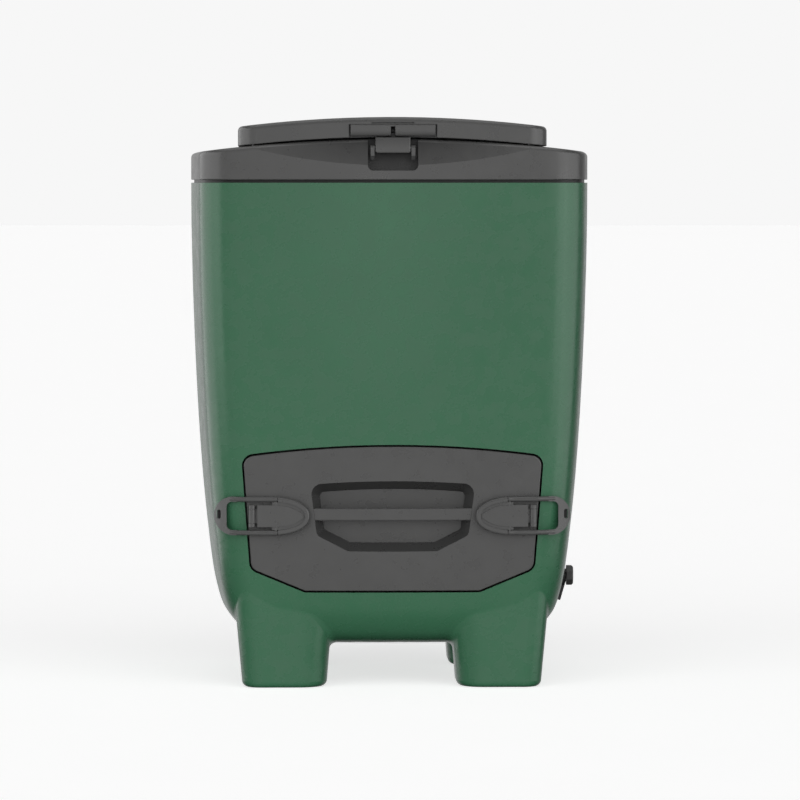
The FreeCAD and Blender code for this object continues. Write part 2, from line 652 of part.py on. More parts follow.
def sk_circle(s, x, y, r):
    """Circle whose radius is bound to an expression."""
    i = s.addGeometry(Part.Circle(V(x, y, 0), V(0, 0, 1), 5.0), False)
    s.addConstraint(Sketcher.Constraint("DistanceX", -1, 1, i, 3, x))
    s.addConstraint(Sketcher.Constraint("DistanceY", -1, 1, i, 3, y))
    c = s.addConstraint(Sketcher.Constraint("Radius", i, 5.0))
    s.setExpression("Constraints[%d]" % c, r)


def sk_rect(s, x, y, w, h):
    """Rectangle centred at x, y; width and height bound to expressions."""
    P = [V(x - 5, y - 5, 0), V(x + 5, y - 5, 0), V(x + 5, y + 5, 0), V(x - 5, y + 5, 0)]
    g = [s.addGeometry(Part.LineSegment(P[k], P[(k + 1) % 4]), False) for k in range(4)]
    for k in range(4):
        s.addConstraint(Sketcher.Constraint("Coincident", g[k], 2, g[(k + 1) % 4], 1))
    for k, t in enumerate(("Horizontal", "Vertical", "Horizontal", "Vertical")):
        s.addConstraint(Sketcher.Constraint(t, g[k]))
    c = s.addConstraint(Sketcher.Constraint("DistanceX", g[0], 1, g[0], 2, 10.0))
    s.setExpression("Constraints[%d]" % c, w)
    c = s.addConstraint(Sketcher.Constraint("DistanceY", g[1], 1, g[1], 2, 10.0))
    s.setExpression("Constraints[%d]" % c, h)
    c = s.addConstraint(Sketcher.Constraint("DistanceX", -1, 1, g[0], 1, x - 5))
    s.setExpression("Constraints[%d]" % c, "%s - (%s) / 2" % (x, w))
    c = s.addConstraint(Sketcher.Constraint("DistanceY", -1, 1, g[0], 1, y - 5))
    s.setExpression("Constraints[%d]" % c, "%s - (%s) / 2" % (y, h))


def sk_poly(s, pts):
    n = len(pts)
    g = [s.addGeometry(Part.LineSegment(V(pts[k][0], pts[k][1], 0), V(pts[(k + 1) % n][0], pts[(k + 1) % n][1], 0)), False)
         for k in range(n)]
    for k in range(n):
        s.addConstraint(Sketcher.Constraint("Coincident", g[k], 2, g[(k + 1) % n], 1))
    return g


def sk_poly_bound(s, pts, exprs):
    """Closed outline; each corner's two coordinates are bound to expressions."""
    g = sk_poly(s, pts)
    for k, (ex, ey) in enumerate(exprs):
        c = s.addConstraint(Sketcher.Constraint("DistanceX", -1, 1, g[k], 1, pts[k][0]))
        s.setExpression("Constraints[%d]" % c, ex)
        c = s.addConstraint(Sketcher.Constraint("DistanceY", -1, 1, g[k], 1, pts[k][1]))
        s.setExpression("Constraints[%d]" % c, ey)
    return g


def pad(body, sk, length, name, midplane=False, rev=False):
    p = body.newObject("PartDesign::Pad", name)
    p.Profile = sk
    p.setExpression("Length", length)
    if midplane:
        p.SideType = "Symmetric"
    p.Reversed = rev
    sk.Visibility = False
    doc.recompute()
    return p


def pocket(body, sk, length, name, midplane=False, rev=False):
    p = body.newObject("PartDesign::Pocket", name)
    p.Profile = sk
    p.setExpression("Length", length)
    if midplane:
        p.SideType = "Symmetric"
    p.Reversed = rev
    doc.recompute()
    return p


# raised aeration grate on posts
gr = doc.addObject("PartDesign::Body", "floor_grate")
s = sketch(gr, "grate_outline", "XY_Plane", (0, 0, D("grate_top") - D("grate_t")))
s.setExpression("AttachmentOffset.Base.z", "dims.grate_top - dims.grate_t")
sk_rect(s, 0, 0, "2 * dims.grate_half", "2 * dims.grate_half")
pad(gr, s, "dims.grate_t", "grate_plate")
es = ["Edge%d" % (i + 1) for i, e in enumerate(gr.Shape.Edges)
      if e.BoundBox.XLength < 1e-6 and e.BoundBox.YLength < 1e-6]
base = gr.Tip
f = gr.newObject("PartDesign::Fillet", "grate_corners")
f.Base = (base, es)
f.Radius = 22.0
doc.recompute()
gr.Tip = f
s = sketch(gr, "grate_slot", "XY_Plane", (0, 0, D("grate_top") + 1.0))
sk_rect(s, -154, -195, "dims.grate_slot_l", "dims.grate_slot_w")
pk = pocket(gr, s, "dims.grate_t + 4", "grate_slot_cut")
v_one = gr.Shape.Volume
mp = gr.newObject("PartDesign::MultiTransform", "grate_slots")
mp.Originals = [pk]
lp1 = gr.newObject("PartDesign::LinearPattern", "grate_rows")
lp1.Direction = (s, ["V_Axis"])
lp1.Length = 15 * D("grate_pitch")
lp1.Occurrences = 16
lp2 = gr.newObject("PartDesign::LinearPattern", "grate_cols")
lp2.Direction = (s, ["H_Axis"])
lp2.Length = 308.0
lp2.Occurrences = 3
mp.Transformations = [lp1, lp2]
gr.Tip = mp
doc.recompute()
s = sketch(gr, "grate_posts", "XY_Plane", (0, 0, 0))
s.setExpression("AttachmentOffset.Base.z", "dims.floor_z")
for x in (-77.0, 77.0):
    for y in (-195.0 + 13.0, 0.0, 195.0 - 13.0):
        sk_circle(s, x + (0 if y else 0), y, "dims.grate_post_r")
pad(gr, s, "dims.grate_top - dims.floor_z - 1", "grate_post_pads")
doc.recompute()
mark("grate vol %.0f solids %d valid %s" % (gr.Shape.Volume, len(gr.Shape.Solids), gr.Shape.isValid()))

# drain tap: body through the right wall with flange and spout
wall_x = half_width(D("tap_z"))
TX0 = wall_x - WD - LW - 4.0
tb_ = doc.addObject("PartDesign::Body", "tap_body")
s = sketch(tb_, "tap_section", "XZ_Plane", (0, 0, -D("tap_y")))
xf = wall_x + 4.4
prof = [(TX0 - 16.0, 7.0), (TX0 - 16.0, D("tap_bore_r")), (xf, D("tap_bore_r")), (xf, D("tap_flange_r")),
        (xf + 2.0, D("tap_flange_r")), (xf + 2.0, 11.0), (xf + 4.8, 11.0), (xf + 4.8, 4.1), (TX0 + 30.0, 4.1), (TX0 + 30.0, 7.0)]
ex = []
for (x, r) in prof:
    er = {D("tap_bore_r"): "dims.tap_bore_r", D("tap_flange_r"): "dims.tap_flange_r", 4.1: "dims.tap_spindle_r + 0.06"}.get(r, str(r))
    ex.append((str(x), "dims.tap_z + " + er))
sk_poly_bound(s, [(x, D("tap_z") + r) for x, r in prof], ex)
ax = s.addGeometry(Part.LineSegment(V(0, D("tap_z"), 0), V(100, D("tap_z"), 0)), True)
s.addConstraint(Sketcher.Constraint("Horizontal", ax))
c = s.addConstraint(Sketcher.Constraint("DistanceY", -1, 1, ax, 1, D("tap_z")))
s.setExpression("Constraints[%d]" % c, "dims.tap_z")
rv = tb_.newObject("PartDesign::Revolution", "tap_turned")
rv.Profile = s
rv.ReferenceAxis = (s, ["Axis0"])
rv.Angle = 360.0
doc.recompute()
tb_.Tip = rv
# the spout leans in with the wall on its way down
LEAN = math.radians(D("spout_lean"))
SPX = xf + 0.4 - 32.0 * math.tan(LEAN)
for nm, dz, r in (("tap_spout_sk", 42.0, "4.6"), ("tap_spout_bore", 43.0, "3.2")):
    s = sketch(tb_, nm, "XY_Plane", (0, 0, 0))
    s.AttachmentOffset = FreeCAD.Placement(V(SPX - (dz - 42.0) * math.tan(LEAN), D("tap_y"), D("tap_z") - dz),
                                           FreeCAD.Rotation(V(0, 1, 0), D("spout_lean")))
    s.setExpression("AttachmentOffset.Base.z", "dims.tap_z - %.1f" % dz)
    sk_circle(s, 0.0, 0.0, r)
    if dz == 42.0:
        pad(tb_, s, "33.3", "tap_spout")
v0 = tb_.Shape.Volume
pk = pocket(tb_, s, "30", "tap_spout_hole", rev=True)
if tb_.Shape.Volume >= v0 - 1:
    pk.Reversed = False
    doc.recompute()
mark("tap body vol %.0f -> %.0f solids %d valid %s" % (v0, tb_.Shape.Volume, len(tb_.Shape.Solids), tb_.Shape.isValid()))

# wedge gaskets that take up the lean of the wall, outside and inside
def tube(r1, r0, x0, x1):
    p = (x0, D("tap_y"), D("tap_z"))
    return cyl(r1, p, (1, 0, 0), x1 - x0).cut(cyl(r0, p, (1, 0, 0), x1 - x0))


side = box(150, 400, -60, 60, 100, 260)
gk_out = tube(D("tap_flange_r") - 0.6, D("tap_bore_r") + 0.1, wall_x - 12.0, xf - 0.02).cut(S0.common(side)).cut(cyl(4.9, (SPX - 2.0 * math.tan(LEAN), D("tap_y"), D("tap_z") - 44.0), (math.sin(LEAN), 0, math.cos(LEAN)), 36.0))
gk_in = tube(D("tap_nut_r") - 2.6, D("tap_bore_r") + 0.1, TX0, wall_x - WD - LW + 12.0).common(hull(-WD - LW - 0.02).common(side))
feature("tap_washer", Part.makeCompound([max(gk_out.Solids, key=lambda q: q.Volume), max(gk_in.Solids, key=lambda q: q.Volume)]))
mark("gaskets %d %d" % (len(gk_out.Solids), len(gk_in.Solids)))
tn = doc.addObject("PartDesign::Body", "tap_nut")
s = sketch(tn, "nut_sk", "YZ_Plane", (0, 0, TX0 - 0.05 - D("tap_nut_t")))
hexp = [(D("tap_y") + D("tap_nut_r") * math.cos(math.radians(60 * k)), D("tap_z") + D("tap_nut_r") * math.sin(math.radians(60 * k))) for k in range(6)]
sk_poly_bound(s, hexp, [("dims.tap_y + dims.tap_nut_r * %.6f" % math.cos(math.radians(60 * k)),
                         "dims.tap_z + dims.tap_nut_r * %.6f" % math.sin(math.radians(60 * k))) for k in range(6)])
sk_circle(s, D("tap_y"), D("tap_z"), "dims.tap_bore_r + 0.1")
pad(tn, s, "dims.tap_nut_t", "nut_pad")
mark("nut %s" % tn.Shape.isValid())

# faceted knob and its spindle
tk = doc.addObject("PartDesign::Body", "tap_knob")
kx = xf + 5.6
s = sketch(tk, "knob_sk", "YZ_Plane", (0, 0, kx))
NF = 8
kn = [(D("tap_y") + D("tap_knob_r") * math.cos(math.radians(45 * k + 22.5)), D("tap_z") + D("tap_knob_r") * math.sin(math.radians(45 * k + 22.5))) for k in range(NF)]
sk_poly_bound(s, kn, [("dims.tap_y + dims.tap_knob_r * %.6f" % math.cos(math.radians(45 * k + 22.5)),
                       "dims.tap_z + dims.tap_knob_r * %.6f" % math.sin(math.radians(45 * k + 22.5))) for k in range(NF)])
sk_circle(s, D("tap_y"), D("tap_z"), "dims.tap_spindle_r")
pad(tk, s, "dims.tap_knob_l", "knob_pad")
es = ["Edge%d" % (i + 1) for i, e in enumerate(tk.Shape.Edges)
      if abs(e.BoundBox.XMin - (kx + D("tap_knob_l"))) < 1e-4 and e.BoundBox.YLength + e.BoundBox.ZLength > 10
      and not e.isClosed()]
base = tk.Tip
f = tk.newObject("PartDesign::Chamfer", "knob_bevel")
f.Base = (base, es)
f.Size = 2.5
doc.recompute()
tk.Tip = f
pcyl("tap_spindle", "dims.tap_spindle_r", str(kx + D("tap_knob_l") - 0.8 - TX0 - 34.0), (TX0 + 34.0, D("tap_y"), D("tap_z")), (1, 0, 0))
doc.recompute()
mark("knob %s" % tk.Shape.isValid())

# =================================================================== hatch group
HPR = D("hatch_proud")
front_of = {}


def slab(d, o1, o2):
    """Hatch outline grown by d, between the body outline moved by o1 (front) and o2 (back)."""
    return hatch_prism(d).common(hull(o1).common(FRONT)).cut(hull(o2))


cover = slab(0.0, HPR, -HD)
rim = [e for e in cover.Edges if e.BoundBox.YMax < -285 and e.Length > 8.0]
front_face = max(cover.Faces, key=lambda fc: -fc.CenterOfMass.y if fc.Area > 20000 else -1e9)
for r in (2.0, 1.2):
    try:
        t = cover.makeFillet(r, front_face.Edges)
        if t.isValid():
            cover = t
            mark("hatch rim radius %.1f" % r)
            break
    except Exception as ex_:
        mark("hatch rim %.1f: %s" % (r, ex_))
pan = Part.makeLoft([grip_wire(5.0, -322.0), grip_wire(-19.0, -270.0)], True, True)
inner = slab(-5.0, -4.5, -HD - 1.0).cut(pan.cut(hull(-D("grip_depth") - 4.0)))
cover = cover.cut(inner)
pock = Part.makeLoft([grip_wire(0.0, -322.0), grip_wire(-24.0, -270.0)], True, True).cut(hull(-D("grip_depth")))
pock = pock.fuse(Part.Face(grip_wire(0.0, -322.0)).extrude(V(0, -40, 0)))
pocket_all = one(pock)
barb = box(-D("grip_half_top") + 4.4, D("grip_half_top") - 4.4, -420, -150, D("bar_lo"), D("bar_hi"))
bar = barb.common(hull(0.6).common(FRONT)).cut(hull(0.6 - D("bar_thick")))
cover = cover.cut(pocket_all)
cover = one(cover.cut(bar))
mark("hatch cover %d solids valid %s" % (len(cover.Solids), cover.isValid()))
feature("hatch_cover", cover)
be = [e for e in bar.Edges if e.BoundBox.XLength > 200]
for r in (2.5, 1.5):
    try:
        t = bar.makeFillet(r, be)
        if t.isValid():
            bar = t
            break
    except Exception as ex_:
        mark("bar %.1f: %s" % (r, ex_))
feature("hatch_grip_bar", one(bar))
mark("grip bar valid %s" % bar.isValid())

panel = slab(-0.6, -HD - 0.1, -HD - 3.2)
panel = panel.fuse(slab(-26.5, -HD - 0.1, -WD - LW - 0.5))
panel = panel.cut(slab(-29.5, 0.0, -WD - LW + 2.5))
# four fixing screws, driven from the compost side
HSC = [(-175.0, 360.0), (175.0, 360.0), (-165.0, 240.0), (165.0, 240.0)]
hs_holes = []
hs_objs = []
for i, (x, z) in enumerate(HSC):
    yy = -(half_width(z) - D("face_bulge_r") + math.sqrt(D("face_bulge_r") ** 2 - x * x)) + WD + LW + 0.6
    hs_holes.append(cyl(D("screw_shank_r"), (x, yy + 1.0, z), (0, -1, 0), 26.0))
    hs_objs.append(screw_obj("hatch_screw_%d" % i, (x, yy + 0.3, z), (0, -1, 0), 22.0))
    panel = panel.cut(cyl(D("screw_head_r") + 0.3, (x, yy + 0.3, z), (0, 1, 0), 6.0))
panel = one(panel.cut(hs_holes))
mark("hatch panel %d solids valid %s" % (len(panel.Solids), panel.isValid()))
feature("hatch_inner_panel", panel)
group("hatch_screws", hs_objs)
hf = slab(-5.4, -4.9, -HD - 0.1).fuse(slab(-29.9, -12.0, -WD - LW + 2.9))
hf = hf.cut(Part.Face(grip_wire(6.0, -350.0)).extrude(V(0, 110.0, 0)).cut(hull(-D("grip_depth") - 4.4)))
hf = hf.cut(hs_holes)
hfs = sorted(hf.Solids, key=lambda q: -q.Volume)
mark("hatch foam solids %s" % [round(q.Volume) for q in hfs])
feature("hatch_insulation", hfs[0])
seal = slab(-6.0, -HD - 3.2, -HD - 7.6).cut(hatch_prism(-18.0))
feature("hatch_seal", one(seal))
mark("hatch seal %d valid %s" % (len(seal.Solids), seal.isValid()))

# ------------------------------------------------------------------ toggle latch
LZ, PX, PY = D("latch_z"), D("latch_px"), D("latch_py")
tilt = math.radians(-4.75)
LX = V(math.cos(tilt), math.sin(tilt), 0)      # along the lever, towards the tip
LN = V(math.sin(tilt), -math.cos(tilt), 0)     # away from the hatch


def L3(x, n, z):
    return V(PX, PY, LZ) + LX * x + LN * n + V(0, 0, z)


def lever_plate(pts, n0, n1):
    f = Part.Face(Part.makePolygon([L3(x, n0, z) for x, z in pts + pts[:1]]))
    return f.extrude(LN * (n1 - n0))


def nose_edge(x0, h0, x1, inset=0.0, k=14):
    """Half-oval nose from (x0, h0) to the tip (x1, 0), upper half."""
    out = []
    for i in range(k + 1):
        t = math.pi / 2 * i / k
        out.append((x0 + (x1 - inset - x0) * math.sin(t), (h0 - inset) * math.cos(t) ** 0.86))
    return out


LL, LH, LB = D("latch_len"), D("latch_half"), D("latch_b")
RR = D("latch_rod_r")


def nose_solid(inset, n0, n1, x0):
    up = nose_edge(x0, LH, LL, inset)
    pts = up[:-1] + [(LL - inset, 0.0)] + [(x, -z) for x, z in reversed(up[:-1])]
    spl = Part.BSplineCurve()
    spl.interpolate(Points=[L3(x, n0, z) for x, z in pts])
    back = Part.LineSegment(L3(pts[-1][0], n0, pts[-1][1]), L3(pts[0][0], n0, pts[0][1])).toShape()
    return Part.Face(Part.Wire([spl.toShape(), back])).extrude(LN * (n1 - n0))


XB = LB - 6.5
ZR = LH - 2 * RR - 0.6
nose = nose_solid(0.0, -4.0, 4.0, XB)
ne = [e for e in nose.Edges if e.Length > 60 and e.BoundBox.ZLength > 40]
for r in (3.6, 2.5, 1.5):
    try:
        t = nose.makeFillet(r, [e for e in ne if not (e.Curve.TypeId == "Part::GeomLine")])
        if t.isValid():
            nose = t
            mark("lever rim radius %.1f" % r)
            break
    except Exception as ex_:
        mark("lever rim %.1f: %s" % (r, ex_))
dish = nose_solid(7.5, 1.2, 9.0, XB - 4.0)
nose = nose.cut(dish)
tongue = lever_plate([(9.2, -18.0), (XB + 1.0, -18.0), (XB + 1.0, 18.0), (9.2, 18.0)], -3.4, 3.0)
spear = [(XB - 2.0, 18.0), (58.0, 16.5), (72.0, 11.5), (80.0, 6.8), (86.0, 2.6)]
tongue2 = lever_plate(spear + [(x, -z) for x, z in reversed(spear)], -1.0, 3.0)
barrel = Part.makeCylinder(5.6, 23.0, L3(0, 0, -11.5), V(0, 0, 1))
neck = lever_plate([(0.0, -11.5), (11.0, -11.5), (11.0, 11.5), (0.0, 11.5)], -3.4, -1.0)
# the nose closes round the ends of the bail's rods
for s in (-1, 1):
    za, zb = (ZR, LH + 8.0) if s > 0 else (-LH - 8.0, -ZR)
    nose = nose.cut(lever_plate([(XB - 5.0, za), (LB, za), (LB, zb), (XB - 5.0, zb)], -9.0, 9.0))
    nose = nose.cut(lever_plate([(LB - 1.0, za), (LB + 3.4, za), (LB + 3.4, zb), (LB - 1.0, zb)], 3.2, 9.0))
    nose = nose.cut(Part.makeCylinder(RR + 0.5, zb - za, L3(LB, 0, za), V(0, 0, 1)))
lever = nose.fuse([tongue, tongue2, barrel, neck])
lever = lever.cut(Part.makeCylinder(D("latch_pin_r") + 0.06, 60, L3(0, 0, -30), V(0, 0, 1)))
for s in (-1, 1):
    lever = lever.cut(Part.makeCylinder(D("bail_pin_r") + 0.05, 16.0, L3(LB, 0, 9.0 if s > 0 else -25.0), V(0, 0, 1)))
lever = one(lever)
mark("lever %d solids valid %s" % (len(lever.Solids), lever.isValid()))

# bail: two rods that run outboard over the corner and end in a pierced plate
AZ = half_width(LZ)
kz = AZ / A_TOP
Rz = D("face_bulge_r") * kz
cz_ = (-(Rz - AZ) + math.sqrt(2 * (Rz - D("corner_r")) ** 2 - (Rz - AZ) ** 2)) / 2


def corner_pt(alpha, r):
    a = math.radians(alpha)
    return (-cz_ - r * math.sin(a), -cz_ - r * math.cos(a))


RC = D("corner_r")
bpt = L3(LB, 0, 0)
A1 = 53.0
path = [(bpt.x, bpt.y), (PX + 10.0, -311.3), (PX - 6.0, -310.3)] + [corner_pt(a, RC + 8.7) for a in (14, 20, 26)]
bail = None
for s in (-1, 1):
    b = Part.BSplineCurve()
    zr = LZ + s * (LH - RR)
    b.interpolate(Points=[V(x, y, zr) for x, y in path])
    w = Part.Wire([b.toShape()])
    d0 = b.tangent(b.FirstParameter)[0]
    ring = Part.Wire([Part.Circle(V(path[0][0], path[0][1], zr), d0, RR).toShape()])
    rod = w.makePipeShell([ring], True, False)
    if rod.Volume < 0:
        rod.reverse()
    knuckle = Part.makeSphere(RR, V(bpt.x, bpt.y, zr))
    pin = Part.makeCylinder(D("bail_pin_r"), 15.0, V(bpt.x, bpt.y, LZ + (10.0 if s > 0 else -25.0)), V(0, 0, 1))
    add = rod.fuse([knuckle, pin])
    bail = add if bail is None else bail.fuse(add)


def corner_plate(r0, r1, a0, a1, z0, z1):
    """Piece of a cylindrical shell round the left front corner's axis."""
    p = [corner_pt(a0, r0), corner_pt((a0 + a1) / 2, r0), corner_pt(a1, r0),
         corner_pt(a0, r1), corner_pt((a0 + a1) / 2, r1), corner_pt(a1, r1)]
    q = [V(x, y, z0) for x, y in p]
    e = [Part.Arc(q[0], q[1], q[2]).toShape(), Part.LineSegment(q[2], q[5]).toShape(),
         Part.Arc(q[5], q[4], q[3]).toShape(), Part.LineSegment(q[3], q[0]).toShape()]
    return Part.Face(Part.Wire(e)).extrude(V(0, 0, z1 - z0))


# the outer end is a half round in front view, with a window between the rods and a small oval eye
plate = corner_plate(RC + 5.2, RC + 12.0, 17.0, A1, LZ - LH, LZ + LH)
SCX = corner_pt(A1, RC + 12.0)[0] + LH
plate = plate.common(cyl(LH, (SCX, -400, LZ), (0, 1, 0), 250).fuse(box(SCX, -200, -400, -150, LZ - LH, LZ + LH)))
WIN = box(-275.6, -180, -400, -150, LZ - LH + 2 * RR, LZ + LH - 2 * RR)
we = [e for e in WIN.Edges if e.BoundBox.XLength < 1e-6 and e.BoundBox.ZLength < 1e-6 and e.BoundBox.XMax < -270]
plate = one(plate.cut(WIN.makeFillet(9.0, we)))
for r in (2.4, 1.6, 1.0):
    rim = [e for e in plate.Edges if e.Length > 6.0 and e.BoundBox.XMin < corner_pt(19.0, RC + 8.0)[0] - 0.5
           and min(abs(math.hypot(q.Point.x + cz_, q.Point.y + cz_) - RC - 12.0) for q in e.Vertexes) < 0.05
           and math.hypot(e.valueAt((e.FirstParameter + e.LastParameter) / 2).x + cz_,
                          e.valueAt((e.FirstParameter + e.LastParameter) / 2).y + cz_) > RC + 11.9]
    try:
        t = plate.makeFillet(r, rim)
        if t.isValid() and len(t.Solids) == 1:
            plate = t
            mark("bail rim radius %.1f on %d edges" % (r, len(rim)))
            break
    except Exception as ex_:
        mark("bail rim %.1f: %s" % (r, ex_))
EYX0, EYX1 = -292.4, -285.4
eye = box(EYX0, EYX1, -400, -200, LZ - 6.0, LZ + 10.0)
we = [e for e in eye.Edges if e.BoundBox.XLength < 1e-6 and e.BoundBox.ZLength < 1e-6]
bail = one(bail.fuse(plate).cut(eye.makeFillet(3.4, we)))
mark("bail %d solids valid %s" % (len(bail.Solids), bail.isValid()))

# striker on the corner that the pierced plate drops over
strike = corner_plate(RC - 4.0, RC + 3.4, 40.0, 53.0, LZ - 12.0, LZ + 15.0)
strike = strike.fuse(box(EYX0 + 1.2, EYX1 - 1.2, corner_pt(47.5, RC + 8.2)[1], corner_pt(47.5, RC)[1], LZ - 4.6, LZ + 8.6))
strike = one(strike.cut(S0.common(box(-340, -200, -340, -150, 200, 400))))
mark("striker %d solids valid %s" % (len(strike.Solids), strike.isValid()))

# bracket: base on the hatch and two ears either side of the lever's barrel
brk = None
for s in (-1, 1):
    z0 = LZ + (12.0 if s > 0 else -18.0)
    ear = Part.makeCylinder(5.6, 6.0, V(PX, PY, z0), V(0, 0, 1)).fuse(box(PX - 5.6, PX + 5.6, PY, PY + 16.0, z0, z0 + 6.0))
    brk = ear if brk is None else brk.fuse(ear)
brk = brk.fuse(box(PX - 5.6, PX + 5.6, PY + 6.6, PY + 16.0, LZ - 18.0, LZ + 18.0))
brk = brk.cut(hatch_prism(0.0).common(hull(HPR).common(FRONT)))
brk = max(brk.Solids, key=lambda q: q.Volume)
brk = one(brk.cut(Part.makeCylinder(D("latch_pin_r"), 40, V(PX, PY, LZ - 20), V(0, 0, 1))))
mark("bracket %d solids valid %s" % (len(brk.Solids), brk.isValid()))


def mirrored(shape):
    return shape.mirror(V(0, 0, 0), V(1, 0, 0))


for nm, shp in (("latch_lever", lever), ("latch_bail", bail), ("latch_keeper", strike), ("latch_bracket", brk)):
    feature(nm + "_left", shp)
    feature(nm + "_right", one(mirrored(shp)))
pcyl("latch_pin_left", "dims.latch_pin_r", "36", (PX, PY, LZ - 18.0), (0, 0, 1))
pcyl("latch_pin_right", "dims.latch_pin_r", "36", (-PX, PY, LZ - 18.0), (0, 0, 1))

# ===================================================================== lid group
LX2, LYF, LYB, LCR = D("lid_half_x"), D("lid_front"), D("lid_back"), D("lid_corner_r")
LU, LUR, LC, LCRR = D("lid_under"), D("lid_under_r"), D("lid_crown"), D("lid_crown_r")


def lid_plan(d, z0, z1):
    """Lid outline from above: bowed front, straight sides and back, rounded corners."""
    x, yb = LX2 + d, LYB + d
    yf = LYF + d
    R = D("face_bulge_r")
    ye = yf - (R - math.sqrt(R * R - x * x))
    e = [Part.Arc(V(-x, -ye, z0), V(0, -yf, z0), V(x, -ye, z0)).toShape(),
         Part.LineSegment(V(x, -ye, z0), V(x, yb, z0)).toShape(),
         Part.LineSegment(V(x, yb, z0), V(-x, yb, z0)).toShape(),
         Part.LineSegment(V(-x, yb, z0), V(-x, -ye, z0)).toShape()]
    s = Part.Face(Part.Wire(e)).extrude(V(0, 0, z1 - z0))
    es = [q for q in s.Edges if q.BoundBox.XLength < 1e-6 and q.BoundBox.YLength < 1e-6]
    return s.makeFillet(LCR + d, es)


def lid_band(d, o_low, o_high):
    """Lid outline grown by d, between the underside arch + o_low and the crown arch + o_high."""
    return lid_plan(d, 840.0, 980.0).common(arch(LC, LCRR, 840.0, o_high)).cut(arch(LU, LUR, 830.0, o_low))


NX = 73.0
lid = lid_band(0.0, 0.0, 0.0)
te = [e for e in lid.Edges if e.BoundBox.ZMin > 928 and e.Length > 10]
for r in (D("lid_edge_r"), 5.0, 3.0):
    try:
        t = lid.makeFillet(r, te)
        if t.isValid():
            lid = t
            mark("lid rim radius %.0f" % r)
            break
    except Exception as ex_:
        mark("lid rim %.0f: %s" % (r, ex_))
be = [e for e in lid.Edges if e.BoundBox.ZMax < 918.5 and e.Length > 10]
try:
    t = lid.makeFillet(1.6, be)
    if t.isValid():
        lid = t
except Exception as ex_:
    mark("lid lower rim: %s" % ex_)
LWL = D("lid_wall")
hol = lid_plan(-LWL, 840.0, 980.0).common(arch(LC, LCRR, 840.0, -LWL))
hol = hol.cut(box(-NX - 4.5, NX + 4.5, -420, -311.5, 800, 942.5))
lid = lid.cut(hol)
lid = lid.cut(box(-NX, NX, -420, -316.0, 840, 938.6))
lid = lid.cut(box(-35.0, 35.0, -420, -326.5, 939.6, 942.0))
# hinge arms at the rear
for s in (-1, 1):
    arm = cyl(8.0, (s * HX - 20.0, HY, HZ), (1, 0, 0), 40.0)
    arm = arm.fuse(box(s * HX - 20.0, s * HX + 20.0, LYB - 2.0, HY, HZ + 1.0, HZ + 8.0))
    lid = lid.fuse(arm.cut(cyl(D("lid_hinge_pin_r") + 0.06, (s * HX - 30, HY, HZ), (1, 0, 0), 60.0)))
lid = one(lid)
mark("lid cover %d solids valid %s" % (len(lid.Solids), lid.isValid()))
feature("lid_cover", lid)

PG = D("plug_gap")
PF = D("plug_floor")
NB = box(-NX - 4.7, NX + 4.7, -420, -311.3, 800, 960)
lp = lid_plan(-LWL - 0.3, 840.0, 980.0).common(arch(LU, LUR, 840.0, 4.8)).cut(arch(LU, LUR, 830.0, 0.8))
plug = rrect(MX - PG, MF - PG, MB - PG, MR - PG, PF, 960.0).common(arch(LU, LUR, 840.0, 4.8))
pe = [e for e in plug.Edges if e.BoundBox.ZMax < PF + 1e-3]
plug = plug.makeFillet(5.0, pe)
lp = lp.fuse(plug).cut(rrect(MX - PG - 3.5, MF - PG - 3.5, MB - PG - 3.5, MR - PG - 3.5, PF + 3.5, 980.0)).cut(NB)
LSC = [(-228.0, -200.0), (228.0, -200.0), (-228.0, 180.0), (228.0, 180.0)]
ls_objs, ls_holes = [], []
for i, (x, y) in enumerate(LSC):
    z = LU - LUR + math.sqrt((LUR + 0.8) ** 2 - x * x) + 0.6
    ls_holes.append(cyl(D("screw_shank_r"), (x, y, z - 3.0), (0, 0, 1), 18.0))
    ls_objs.append(screw_obj("lid_screw_%d" % i, (x, y, z - 0.2), (0, 0, 1), 14.0))
    lp = lp.cut(cyl(D("screw_head_r") + 0.3, (x, y, z - 6.2), (0, 0, 1), 6.0))
lp = one(lp.cut(ls_holes))
mark("lid panel %d solids valid %s" % (len(lp.Solids), lp.isValid()))
feature("lid_inner_panel", lp)
group("lid_screws", ls_objs)
lf = lid_band(-LWL - 0.5, 5.0, -LWL - 0.3).cut(NB)
lf = lf.fuse(rrect(MX - PG - 3.8, MF - PG - 3.8, MB - PG - 3.8, MR - PG - 3.8, PF + 3.8, 980.0).common(arch(LU, LUR, 840.0, 6.0)))
lf = one(lf.cut(ls_holes))
mark("lid foam %d solids valid %s" % (len(lf.Solids), lf.isValid()))
feature("lid_insulation", lf)
ls = rrect(MX + 10.0, MF + 12.0, MB + 12.0, MR + 8.0, 840.0, 980.0).cut(rrect(MX - 2.0, MF - 2.0, MB - 2.0, MR - 2.0, 830.0, 990.0))
ls = ls.common(arch(LU, LUR, 840.0, 0.8)).cut(arch(CC, CR, 830.0, 0.4))
ls = one(ls)
mark("lid seal %d solids valid %s" % (len(ls.Solids), ls.isValid()))
feature("lid_seal", ls)

